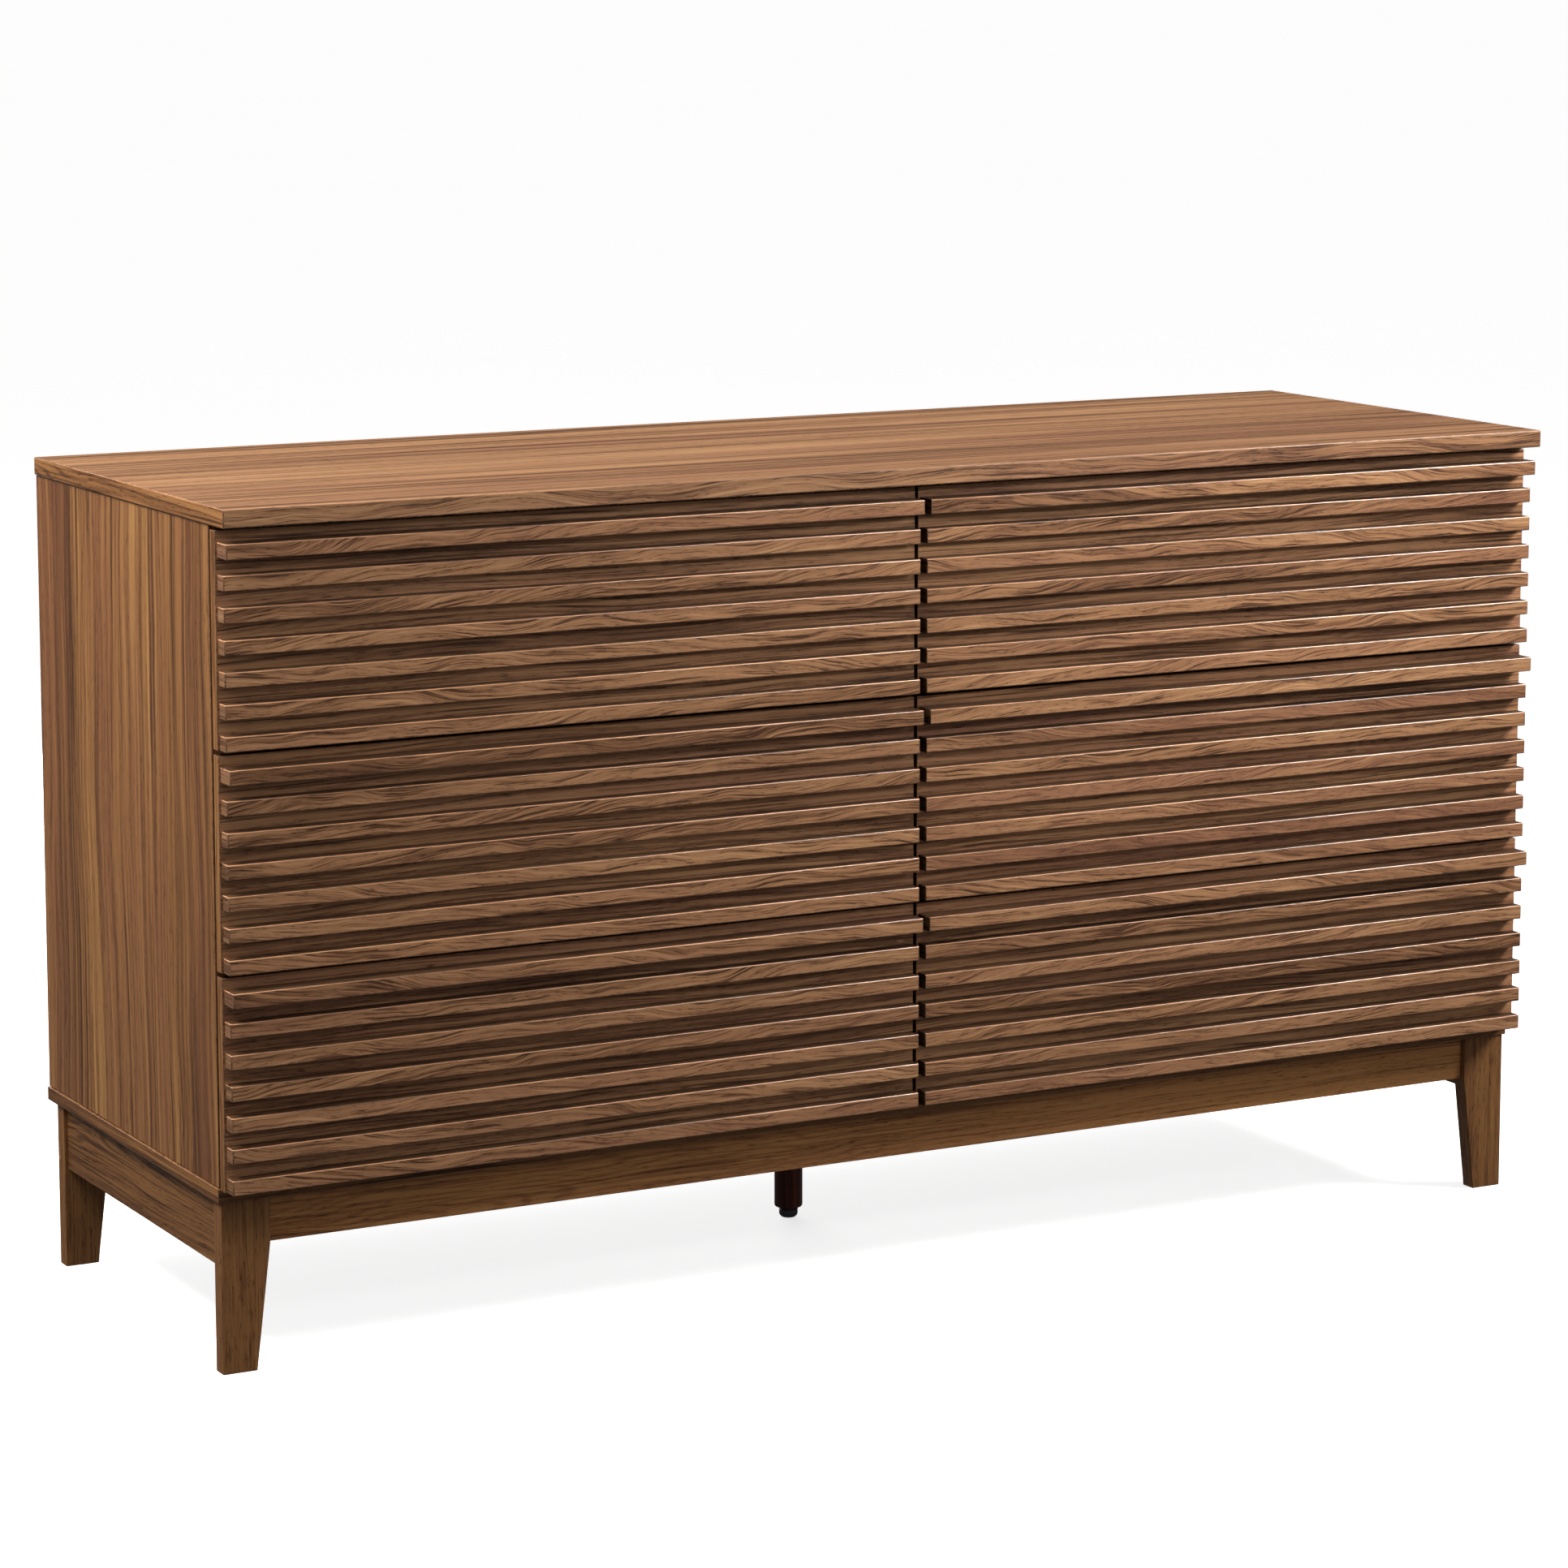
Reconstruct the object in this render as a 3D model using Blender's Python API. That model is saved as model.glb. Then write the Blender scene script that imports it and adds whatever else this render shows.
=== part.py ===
"""Six-drawer sideboard with slatted drawer fronts, standing on a low leg frame.

Metres, +Z up. The origin is on the floor under the middle of the cabinet, the fronts face -Y and
"left" is the viewer's left, at -X. Every board is its own object. Each drawer hangs on a pair of
two-part metal slides and all its pieces are children of one empty on the drawer's slide axis.
"""
import bpy
import bmesh
from math import cos, pi, sin

# ---------------------------------------------------------------- driving dimensions
WIDTH = 1.500
DEPTH = 0.510
HEIGHT = 0.833
GAP = 0.0003                     # hairline between pieces that touch

TOP_THICK = 0.018
SIDE_THICK = 0.015
BOTTOM_THICK = 0.014
SIDE_INSET = 0.002               # side panels stand this far inside the top's ends
LEG_HEIGHT = 0.1685              # floor to the underside of the bottom panel

BACK_THICK = 0.003
BACK_GROOVE_SLACK = 0.0006
BACK_GROOVE_DEPTH = 0.005
BACK_INSET = 0.009               # back panels' rear face to the cabinet's rear edge

CARCASS_FRONT = -0.2125          # front edges of the side panels and the divider
BOTTOM_FRONT = -0.2155           # front edge of the bottom panel

FRONT_THICK = 0.012
FRONT_BACK_FACE = -0.2165        # rear face of the drawer fronts
ROWS = ("lower", "middle", "upper")
COLUMNS = ("left", "right")
FRONT_BOTTOM = 0.1813            # bottom edge of the lowest fronts
ROW_GAP = 0.0045
COLUMN_GAP = 0.003

SLATS_PER_FRONT = 7
SLAT_PITCH = 0.0302
SLAT_HEIGHT = 0.015
SLAT_DEPTH = 0.0155
PULL_SLAT_DEPTH = 0.0235         # the top slat of each front is deeper: it is the finger pull
SLAT_END_INSET = 0.002
SLAT_SINK = 0.001                # how far a slat runs into its front, so that the two join

LEG_THICK = 0.018
LEG_WIDTH = 0.050
LEG_FOOT_WIDTH = 0.035
LEG_END_INSET = 0.003
LEG_FRONT_FACE = -0.2135
LEG_REAR_FACE = 0.235
APRON_THICK = 0.015
APRON_HEIGHT = 0.045             # front and back aprons
SIDE_APRON_HEIGHT = 0.066
APRON_RECESS = 0.006
SIDE_APRON_RECESS = 0.004

CENTER_LEG_Y = 0.040
CENTER_LEG_RADIUS = 0.015
CENTER_LEG_CHAMFER = 0.0015
PLATE_RADIUS = 0.032
PLATE_THICK = 0.0025
GLIDE_RADIUS = 0.010
GLIDE_HEIGHT = 0.011
GLIDE_CHAMFER = 0.003
ROUND_SEGMENTS = 32

SLIDE_WIDTH = 0.0127             # room for one slide between a drawer box and its bay's wall
SLIDE_LENGTH = 0.400
SLIDE_START = -0.2085
SLIDE_ABOVE_BOX_BOTTOM = 0.055   # slide's centre line
RAIL_HALF_HEIGHT = 0.0175
RAIL_DEPTH = 0.009
RAIL_WALL = 0.0015
RUNNER_HALF_HEIGHT = 0.012
RUNNER_DEPTH = 0.0084

BOX_HEIGHT = 0.160
BOX_DEPTH = 0.420
BOX_WALL = 0.012
BOX_ABOVE_FRONT_BOTTOM = 0.022
BOX_BOTTOM_THICK = 0.003
BOX_GROOVE_HEIGHT = 0.0036
BOX_GROOVE_DEPTH = 0.005
BOX_GROOVE_ABOVE_EDGE = 0.008

# ---------------------------------------------------------------- dimensions that follow
HALF_WIDTH = WIDTH / 2
HALF_DEPTH = DEPTH / 2
TOP_UNDER = HEIGHT - TOP_THICK
FLOOR_OF_BAYS = LEG_HEIGHT + BOTTOM_THICK
SIDE_OUTER = HALF_WIDTH - SIDE_INSET
SIDE_INNER = SIDE_OUTER - SIDE_THICK
DIVIDER_HALF = SIDE_THICK / 2
BACK_REAR = HALF_DEPTH - BACK_INSET
BACK_FRONT = BACK_REAR - BACK_THICK
BACK_GROOVE = (BACK_FRONT - BACK_GROOVE_SLACK / 2, BACK_REAR + BACK_GROOVE_SLACK / 2)
ROW_PITCH = SLATS_PER_FRONT * SLAT_PITCH
FRONT_HEIGHT = ROW_PITCH - ROW_GAP
FRONT_WIDTH = SIDE_OUTER - COLUMN_GAP / 2
FRONT_FACE = FRONT_BACK_FACE - FRONT_THICK
BAY_WIDTH = SIDE_INNER - DIVIDER_HALF
BAY_CENTER = (SIDE_INNER + DIVIDER_HALF) / 2
BOX_WIDTH = BAY_WIDTH - 2 * SLIDE_WIDTH
BOX_FRONT = FRONT_BACK_FACE + GAP
BOX_REAR = BOX_FRONT + BOX_DEPTH
LEG_OUTER = HALF_WIDTH - LEG_END_INSET

# ---------------------------------------------------------------- finishes
# linear base colour, roughness, metallic
FINISHES = {
    "walnut_top": ((0.31, 0.150, 0.068), 0.42, 0.0),
    "walnut_board": ((0.27, 0.125, 0.052), 0.45, 0.0),
    "walnut_front": ((0.19, 0.085, 0.038), 0.45, 0.0),
    "walnut_leg": ((0.15, 0.070, 0.032), 0.48, 0.0),
    "drawer_board": ((0.26, 0.135, 0.065), 0.55, 0.0),
    "hardboard": ((0.23, 0.120, 0.058), 0.70, 0.0),
    "red_stain": ((0.065, 0.013, 0.006), 0.38, 0.0),
    "zinc": ((0.60, 0.60, 0.58), 0.35, 1.0),
    "black_steel": ((0.02, 0.02, 0.02), 0.45, 0.6),
    "black_plastic": ((0.012, 0.012, 0.012), 0.50, 0.0),
}


# ---------------------------------------------------------------- helpers
def clear_scene():
    for obj in list(bpy.data.objects):
        bpy.data.objects.remove(obj, do_unlink=True)


def paint(obj, finish):
    """Give the object a material of its own, in one of the finishes."""
    colour, roughness, metallic = FINISHES[finish]
    material = bpy.data.materials.new(obj.name + "_finish")
    material.use_nodes = True
    shader = material.node_tree.nodes["Principled BSDF"]
    shader.inputs["Base Color"].default_value = (*colour, 1.0)
    shader.inputs["Roughness"].default_value = roughness
    shader.inputs["Metallic"].default_value = metallic
    obj.data.materials.append(material)


def place(obj, location, parent):
    """Put the object at a world location, under an unrotated parent if it has one."""
    if parent is not None:
        obj.parent = parent
        location = [a - b for a, b in zip(location, parent.location)]
    obj.location = location


def add_object(name, mesh_tools, finish, location, parent=None):
    """Turn a bmesh into a linked object with outward faces."""
    bmesh.ops.recalc_face_normals(mesh_tools, faces=mesh_tools.faces)
    mesh = bpy.data.meshes.new(name)
    mesh_tools.to_mesh(mesh)
    mesh_tools.free()
    obj = bpy.data.objects.new(name, mesh)
    bpy.context.scene.collection.objects.link(obj)
    place(obj, location, parent)
    if finish is not None:
        paint(obj, finish)
    return obj


def add_box(tools, low, high):
    """Add a box between two corners to a bmesh."""
    made = bmesh.ops.create_cube(tools, size=1.0)
    for vertex in made["verts"]:
        for axis in range(3):
            middle = (low[axis] + high[axis]) / 2
            vertex.co[axis] = middle + vertex.co[axis] * (high[axis] - low[axis])


def board(name, x_span, y_span, z_span, finish, parent=None):
    """A rectangular board. Its origin is at its centre."""
    spans = (x_span, y_span, z_span)
    centre = [sum(span) / 2 for span in spans]
    half = [(span[1] - span[0]) / 2 for span in spans]
    tools = bmesh.new()
    add_box(tools, [-h for h in half], half)
    return add_object(name, tools, finish, centre, parent)


def prism(name, outline, axis, span, finish, parent=None):
    """A flat outline swept along one axis. The outline's points are in the other two axes."""
    tools = bmesh.new()
    others = [i for i in range(3) if i != axis]
    centre = [0.0, 0.0, 0.0]
    centre[axis] = sum(span) / 2
    for place_in_pair, i in enumerate(others):
        values = [point[place_in_pair] for point in outline]
        centre[i] = (min(values) + max(values)) / 2
    corners = []
    for point in outline:
        corner = [0.0, 0.0, 0.0]
        corner[axis] = span[0] - centre[axis]
        for place_in_pair, i in enumerate(others):
            corner[i] = point[place_in_pair] - centre[i]
        corners.append(tools.verts.new(corner))
    face = tools.faces.new(corners)
    made = bmesh.ops.extrude_face_region(tools, geom=[face])
    shift = [0.0, 0.0, 0.0]
    shift[axis] = span[1] - span[0]
    moved = [item for item in made["geom"] if isinstance(item, bmesh.types.BMVert)]
    bmesh.ops.translate(tools, vec=shift, verts=moved)
    return add_object(name, tools, finish, centre, parent)


def turned(name, profile, centre, finish):
    """A solid of revolution round Z. The profile's (radius, height) points run upwards."""
    tools = bmesh.new()
    rings = []
    for radius, height in profile:
        ring = []
        for step in range(ROUND_SEGMENTS):
            angle = 2 * pi * step / ROUND_SEGMENTS
            ring.append(tools.verts.new((radius * cos(angle), radius * sin(angle), height)))
        rings.append(ring)
    for lower, upper in zip(rings, rings[1:]):
        for step in range(ROUND_SEGMENTS):
            after = (step + 1) % ROUND_SEGMENTS
            tools.faces.new((lower[step], lower[after], upper[after], upper[step]))
    tools.faces.new(rings[0])
    tools.faces.new(rings[-1])
    obj = add_object(name, tools, finish, centre)
    obj.data.shade_smooth()
    obj.data.set_sharp_from_angle(angle=pi / 6)
    return obj


def combine(target, boxes, operation):
    """Join boxes to an object, or cut them from it, with an exact Boolean."""
    name = target.name + "_" + operation.lower()
    tools = bmesh.new()
    for low, high in boxes:
        add_box(tools, low, high)
    guide = add_object(name, tools, None, (0.0, 0.0, 0.0))
    guide.hide_render = True
    guide.display_type = "WIRE"
    modifier = target.modifiers.new(name, "BOOLEAN")
    modifier.object = guide
    modifier.operation = operation
    modifier.solver = "EXACT"


def mirrored(outline, side):
    """Flip an outline's first coordinate for the left-hand side (-1)."""
    return [(side * a, b) for a, b in outline]


# ---------------------------------------------------------------- cabinet
def build_top():
    top = board("top_panel", (-HALF_WIDTH, HALF_WIDTH), (-HALF_DEPTH, HALF_DEPTH),
                (TOP_UNDER, HEIGHT), "walnut_top")
    combine(top, [back_groove(TOP_UNDER - BACK_GROOVE_DEPTH, TOP_UNDER + BACK_GROOVE_DEPTH)],
            "DIFFERENCE")


def build_bottom():
    bottom = board("bottom_panel", (-HALF_WIDTH, HALF_WIDTH), (BOTTOM_FRONT, HALF_DEPTH),
                   (LEG_HEIGHT, FLOOR_OF_BAYS), "walnut_board")
    low = FLOOR_OF_BAYS - BACK_GROOVE_DEPTH
    combine(bottom, [back_groove(low, FLOOR_OF_BAYS + BACK_GROOVE_DEPTH)], "DIFFERENCE")


def back_groove(z_low, z_high):
    """The stopped groove that holds the edges of both back panels."""
    reach = SIDE_INNER + BACK_GROOVE_DEPTH
    return ((-reach, BACK_GROOVE[0], z_low), (reach, BACK_GROOVE[1], z_high))


def build_uprights():
    z_span = (FLOOR_OF_BAYS + GAP, TOP_UNDER - GAP)
    groove_floor = SIDE_INNER + BACK_GROOVE_DEPTH
    outline = [(SIDE_OUTER, CARCASS_FRONT), (SIDE_OUTER, HALF_DEPTH), (SIDE_INNER, HALF_DEPTH),
               (SIDE_INNER, BACK_GROOVE[1]), (groove_floor, BACK_GROOVE[1]),
               (groove_floor, BACK_GROOVE[0]), (SIDE_INNER, BACK_GROOVE[0]),
               (SIDE_INNER, CARCASS_FRONT)]
    for column, side in zip(COLUMNS, (-1, 1)):
        prism(column + "_side_panel", mirrored(outline, side), 2, z_span, "walnut_board")
    board("center_divider", (-DIVIDER_HALF, DIVIDER_HALF), (CARCASS_FRONT, BACK_FRONT - GAP),
          z_span, "walnut_board")


def build_backs():
    """Two thin panels that meet behind the divider."""
    z_span = (FLOOR_OF_BAYS - BACK_GROOVE_DEPTH + GAP, TOP_UNDER + BACK_GROOVE_DEPTH - GAP)
    reach = SIDE_INNER + BACK_GROOVE_DEPTH - GAP
    board("left_back_panel", (-reach, -GAP), (BACK_FRONT, BACK_REAR), z_span, "hardboard")
    board("right_back_panel", (GAP, reach), (BACK_FRONT, BACK_REAR), z_span, "hardboard")


def build_legs():
    """Flat boards that face the front, straight outside and tapered inside below the aprons."""
    z_top = LEG_HEIGHT - GAP
    z_taper = LEG_HEIGHT - APRON_HEIGHT
    outline = [(LEG_OUTER, 0.0), (LEG_OUTER, z_top), (LEG_OUTER - LEG_WIDTH, z_top),
               (LEG_OUTER - LEG_WIDTH, z_taper), (LEG_OUTER - LEG_FOOT_WIDTH, 0.0)]
    y_spans = {"front": (LEG_FRONT_FACE, LEG_FRONT_FACE + LEG_THICK),
               "back": (LEG_REAR_FACE - LEG_THICK, LEG_REAR_FACE)}
    for end, y_span in y_spans.items():
        for column, side in zip(COLUMNS, (-1, 1)):
            prism(end + "_" + column + "_leg", mirrored(outline, side), 1, y_span, "walnut_leg")


def build_aprons():
    z_span = (LEG_HEIGHT - APRON_HEIGHT, LEG_HEIGHT - GAP)
    reach = LEG_OUTER - LEG_WIDTH - GAP
    front = LEG_FRONT_FACE + APRON_RECESS
    rear = LEG_REAR_FACE - APRON_RECESS
    board("front_apron", (-reach, reach), (front, front + APRON_THICK), z_span, "walnut_leg")
    board("back_apron", (-reach, reach), (rear - APRON_THICK, rear), z_span, "walnut_leg")
    z_span = (LEG_HEIGHT - SIDE_APRON_HEIGHT, LEG_HEIGHT - GAP)
    y_span = (LEG_FRONT_FACE + LEG_THICK + GAP, LEG_REAR_FACE - LEG_THICK - GAP)
    outer = LEG_OUTER - SIDE_APRON_RECESS
    board("left_apron", (-outer, APRON_THICK - outer), y_span, z_span, "walnut_leg")
    board("right_apron", (outer - APRON_THICK, outer), y_span, z_span, "walnut_leg")


def build_center_leg():
    """A turned leg under the middle of the cabinet, with its plate and its plastic glide."""
    axis = (0.0, CENTER_LEG_Y, 0.0)
    plate_low = LEG_HEIGHT - GAP - PLATE_THICK
    turned("center_leg_plate", [(PLATE_RADIUS, plate_low), (PLATE_RADIUS, LEG_HEIGHT - GAP)],
           axis, "black_steel")
    leg_low = GLIDE_HEIGHT + GAP
    turned("center_leg",
           [(CENTER_LEG_RADIUS - CENTER_LEG_CHAMFER, leg_low),
            (CENTER_LEG_RADIUS, leg_low + CENTER_LEG_CHAMFER),
            (CENTER_LEG_RADIUS, plate_low - GAP)], axis, "red_stain")
    turned("center_leg_glide",
           [(GLIDE_RADIUS - GLIDE_CHAMFER, 0.0), (GLIDE_RADIUS, GLIDE_CHAMFER),
            (GLIDE_RADIUS, GLIDE_HEIGHT)], axis, "black_plastic")


# ---------------------------------------------------------------- drawers
def slide_profile(wall, toward, z_middle):
    """Outlines of a slide's two channels, from the bay's wall towards the drawer box."""
    def across(distance):
        return wall + toward * distance

    def channel(back, tip, half_height, thick):
        into = 1 if tip > back else -1
        return [(across(back), z_middle - half_height), (across(tip), z_middle - half_height),
                (across(tip), z_middle - half_height + RAIL_WALL),
                (across(back + into * thick), z_middle - half_height + RAIL_WALL),
                (across(back + into * thick), z_middle + half_height - RAIL_WALL),
                (across(tip), z_middle + half_height - RAIL_WALL),
                (across(tip), z_middle + half_height), (across(back), z_middle + half_height)]

    rail = channel(GAP, GAP + RAIL_DEPTH, RAIL_HALF_HEIGHT, RAIL_WALL)
    runner_back = SLIDE_WIDTH - GAP
    runner = channel(runner_back, runner_back - RUNNER_DEPTH, RUNNER_HALF_HEIGHT, RAIL_WALL)
    return rail, runner


def build_front(prefix, x_span, z_low, parent):
    """A flat front with seven slats: six shallow ones, and the deep pull slat above them."""
    front = board(prefix + "_front", x_span, (FRONT_FACE, FRONT_BACK_FACE),
                  (z_low, z_low + FRONT_HEIGHT), "walnut_front", parent)
    slats = []
    for number in range(SLATS_PER_FRONT):
        deepest = number == SLATS_PER_FRONT - 1
        depth = PULL_SLAT_DEPTH if deepest else SLAT_DEPTH
        low = z_low + number * SLAT_PITCH
        slats.append(((x_span[0] + SLAT_END_INSET, FRONT_FACE - depth, low),
                      (x_span[1] - SLAT_END_INSET, FRONT_FACE + SLAT_SINK, low + SLAT_HEIGHT)))
    combine(front, slats, "UNION")


def build_box(prefix, x_span, z_low, parent):
    """Both sides and the back of a drawer, folded from one grooved board."""
    outer_low, outer_high = x_span
    inner_low, inner_high = outer_low + BOX_WALL, outer_high - BOX_WALL
    outline = [(outer_low, BOX_FRONT), (inner_low, BOX_FRONT), (inner_low, BOX_REAR - BOX_WALL),
               (inner_high, BOX_REAR - BOX_WALL), (inner_high, BOX_FRONT),
               (outer_high, BOX_FRONT), (outer_high, BOX_REAR), (outer_low, BOX_REAR)]
    box = prism(prefix + "_box", outline, 2, (z_low, z_low + BOX_HEIGHT), "drawer_board", parent)
    groove_low = z_low + BOX_GROOVE_ABOVE_EDGE
    groove = ((inner_low - BOX_GROOVE_DEPTH, BOX_FRONT - BOX_WALL, groove_low),
              (inner_high + BOX_GROOVE_DEPTH, BOX_REAR - BOX_WALL + BOX_GROOVE_DEPTH,
               groove_low + BOX_GROOVE_HEIGHT))
    combine(box, [groove], "DIFFERENCE")
    panel_low = groove_low + (BOX_GROOVE_HEIGHT - BOX_BOTTOM_THICK) / 2
    board(prefix + "_bottom",
          (inner_low - BOX_GROOVE_DEPTH + GAP, inner_high + BOX_GROOVE_DEPTH - GAP),
          (BOX_FRONT + GAP, BOX_REAR - BOX_WALL + BOX_GROOVE_DEPTH - GAP),
          (panel_low, panel_low + BOX_BOTTOM_THICK), "hardboard", parent)


def build_slides(prefix, bay, z_middle, parent):
    """The rail on each wall of the bay, and the runner on each side of the drawer box."""
    y_span = (SLIDE_START, SLIDE_START + SLIDE_LENGTH)
    for hand, wall, toward in (("left", bay[0], 1), ("right", bay[1], -1)):
        rail, runner = slide_profile(wall, toward, z_middle)
        prism(prefix + "_" + hand + "_rail", rail, 1, y_span, "zinc")
        prism(prefix + "_" + hand + "_runner", runner, 1, y_span, "zinc", parent)


def build_drawer(row, column, side, z_low):
    prefix = ROWS[row] + "_" + column + "_drawer"
    centre = side * BAY_CENTER
    slide_origin = bpy.data.objects.new(prefix, None)
    slide_origin.location = (centre, FRONT_BACK_FACE, z_low + FRONT_HEIGHT / 2)
    bpy.context.scene.collection.objects.link(slide_origin)
    front_ends = sorted((side * COLUMN_GAP / 2, side * SIDE_OUTER))
    build_front(prefix, front_ends, z_low, slide_origin)
    box_low = z_low + BOX_ABOVE_FRONT_BOTTOM
    build_box(prefix, (centre - BOX_WIDTH / 2, centre + BOX_WIDTH / 2), box_low, slide_origin)
    bay = (centre - BAY_WIDTH / 2, centre + BAY_WIDTH / 2)
    build_slides(prefix, bay, box_low + SLIDE_ABOVE_BOX_BOTTOM, slide_origin)


def main():
    clear_scene()
    build_top()
    build_bottom()
    build_uprights()
    build_backs()
    build_legs()
    build_aprons()
    build_center_leg()
    for row in range(len(ROWS)):
        for column, side in zip(COLUMNS, (-1, 1)):
            build_drawer(row, column, side, FRONT_BOTTOM + row * ROW_PITCH)


main()
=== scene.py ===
"""Look of the six-drawer sideboard: detailed boards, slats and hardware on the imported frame."""
from math import cos, pi, radians, sin

import bmesh
import bpy
from mathutils import Matrix, Vector


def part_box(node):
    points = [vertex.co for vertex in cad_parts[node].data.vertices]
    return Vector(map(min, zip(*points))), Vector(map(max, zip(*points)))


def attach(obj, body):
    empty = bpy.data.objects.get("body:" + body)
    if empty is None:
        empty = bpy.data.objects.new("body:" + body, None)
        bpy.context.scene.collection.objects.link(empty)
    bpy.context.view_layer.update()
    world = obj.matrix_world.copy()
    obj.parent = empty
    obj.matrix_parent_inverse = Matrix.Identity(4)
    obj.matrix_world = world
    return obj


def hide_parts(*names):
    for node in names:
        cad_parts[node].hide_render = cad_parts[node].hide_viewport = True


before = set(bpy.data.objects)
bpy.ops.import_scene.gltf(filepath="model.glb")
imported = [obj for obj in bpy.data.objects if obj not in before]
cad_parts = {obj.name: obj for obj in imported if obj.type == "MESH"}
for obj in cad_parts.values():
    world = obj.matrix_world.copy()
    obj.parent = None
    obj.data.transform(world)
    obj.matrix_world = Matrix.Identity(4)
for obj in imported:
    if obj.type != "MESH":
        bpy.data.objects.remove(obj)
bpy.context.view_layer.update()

ROWS = ("lower", "middle", "upper")
COLUMNS = (("left", -1), ("right", 1))
UP, DOWN, LEFT, RIGHT = (0, 0, 1), (0, 0, -1), (-1, 0, 0), (1, 0, 0)

# drawer fronts: a flat panel with slats on it, the top one of which is the deeper pull
SLATS_PER_FRONT = 7
SLAT_PITCH, SLAT_HEIGHT, SLAT_INSET = 0.0302, 0.015, 0.002
SLAT_DEPTH, PULL_SLAT_DEPTH, PANEL_THICK = 0.0155, 0.0235, 0.012
GLUED_IN = 0.0002
# just below the lowest slat, where the count of slats starts for the grain
FIRST_SLAT_BOTTOM = 0.1806
# drawer boxes, slides, case and legs
BOX_WALL = 0.012
SLIDE_WEB = 0.0015
BACK_GROOVE = 0.005
LEG_TOE = 0.035
CAP_HEIGHT, CAP_INSET = 0.1120, 0.0042
# brightness of the studio's walls from straight down to straight up
SKY = ((0.0, 0.06), (0.44, 0.16), (0.54, 0.33), (1.0, 0.22))


# ---------------------------------------------------------------- shader helpers
class Net:
    """Short names for building a material's nodes."""

    def __init__(self, name):
        self.material = bpy.data.materials.new(name)
        self.material.use_nodes = True
        self.tree = self.material.node_tree
        self.shader = self.tree.nodes["Principled BSDF"]

    def node(self, kind, *values, **settings):
        made = self.tree.nodes.new("ShaderNode" + kind)
        for key, value in settings.items():
            setattr(made, key, value)
        for place, value in enumerate(values):
            self.feed(made.inputs[place], value)
        return made

    def feed(self, socket, value):
        if value is None:
            return
        if isinstance(value, bpy.types.NodeSocket):
            self.tree.links.new(value, socket)
        else:
            socket.default_value = value

    def math(self, operation, a, b=None, clamp=False):
        return self.node("Math", a, b, operation=operation, use_clamp=clamp).outputs[0]

    def vector(self, operation, a, b):
        return self.node("VectorMath", a, b, operation=operation).outputs[0]

    def noise(self, vector, detail=2.0, roughness=0.5):
        made = self.node("TexNoise")
        self.feed(made.inputs["Vector"], vector)
        for key, value in (("Scale", 1.0), ("Detail", detail), ("Roughness", roughness)):
            made.inputs[key].default_value = value
        return made.outputs[0]

    def spread(self, value, low, high, out_low=0.0, out_high=1.0, smooth=False):
        made = self.node("MapRange", value, low, high, out_low, out_high,
                         interpolation_type="SMOOTHSTEP" if smooth else "LINEAR")
        made.clamp = True
        return made.outputs[0]

    def ramp(self, value, stops):
        made = self.node("ValToRGB", value)
        made.color_ramp.interpolation = "EASE"
        elements = made.color_ramp.elements
        while len(elements) < len(stops):
            elements.new(0.5)
        for element, (place, colour) in zip(elements, stops):
            element.position = place
            element.color = (*colour, 1.0)
        return made.outputs[0]

    def mix(self, amount, a, b, blend="MIX"):
        made = self.tree.nodes.new("ShaderNodeMix")
        made.data_type = "RGBA"
        made.blend_type = blend
        for key, value in ((0, amount), (6, a), (7, b)):
            if isinstance(value, tuple):
                value = (*value, 1.0)
            self.feed(made.inputs[key], value)
        return made.outputs[2]

    def bump(self, height, strength, distance):
        made = self.tree.nodes.new("ShaderNodeBump")
        made.inputs["Strength"].default_value = strength
        made.inputs["Distance"].default_value = distance
        self.feed(made.inputs["Height"], height)
        self.tree.links.new(made.outputs[0], self.shader.inputs["Normal"])

    def finish(self, colour, roughness, **constants):
        self.feed(self.shader.inputs["Base Color"], colour)
        self.feed(self.shader.inputs["Roughness"], roughness)
        for key, value in constants.items():
            self.shader.inputs[key.replace("_", " ")].default_value = value
        return self.material

    def place(self):
        """The piece's own coordinates, in metres, which don't change as it slides."""
        return self.tree.nodes.new("ShaderNodeTexCoord").outputs["Object"]


# linear colours of the foil, from its dark lines to its lightest bands, and its rosy patches
WALNUT = ((0.060, 0.024, 0.009), (0.150, 0.062, 0.022), (0.255, 0.114, 0.039), (0.37, 0.190, 0.062))
WALNUT_RED = (0.20, 0.076, 0.036)
DUSKY = ((0.050, 0.022, 0.011), (0.140, 0.065, 0.031), (0.260, 0.130, 0.062), (0.38, 0.210, 0.100))
DUSKY_RED = (0.200, 0.086, 0.050)


def slat_numbers(net, split):
    """Three random numbers that are the same all over one slat and differ between slats."""
    row = net.math("FLOOR", net.math("DIVIDE", net.math("SUBTRACT", split.outputs[2],
                                                        FIRST_SLAT_BOTTOM), SLAT_PITCH))
    column = net.math("MULTIPLY", net.math("SIGN", split.outputs[0]), 57.3)
    pick = net.node("TexWhiteNoise", None, net.math("ADD", row, column), noise_dimensions="1D")
    return net.node("SeparateColor", pick.outputs[1]).outputs


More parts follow.
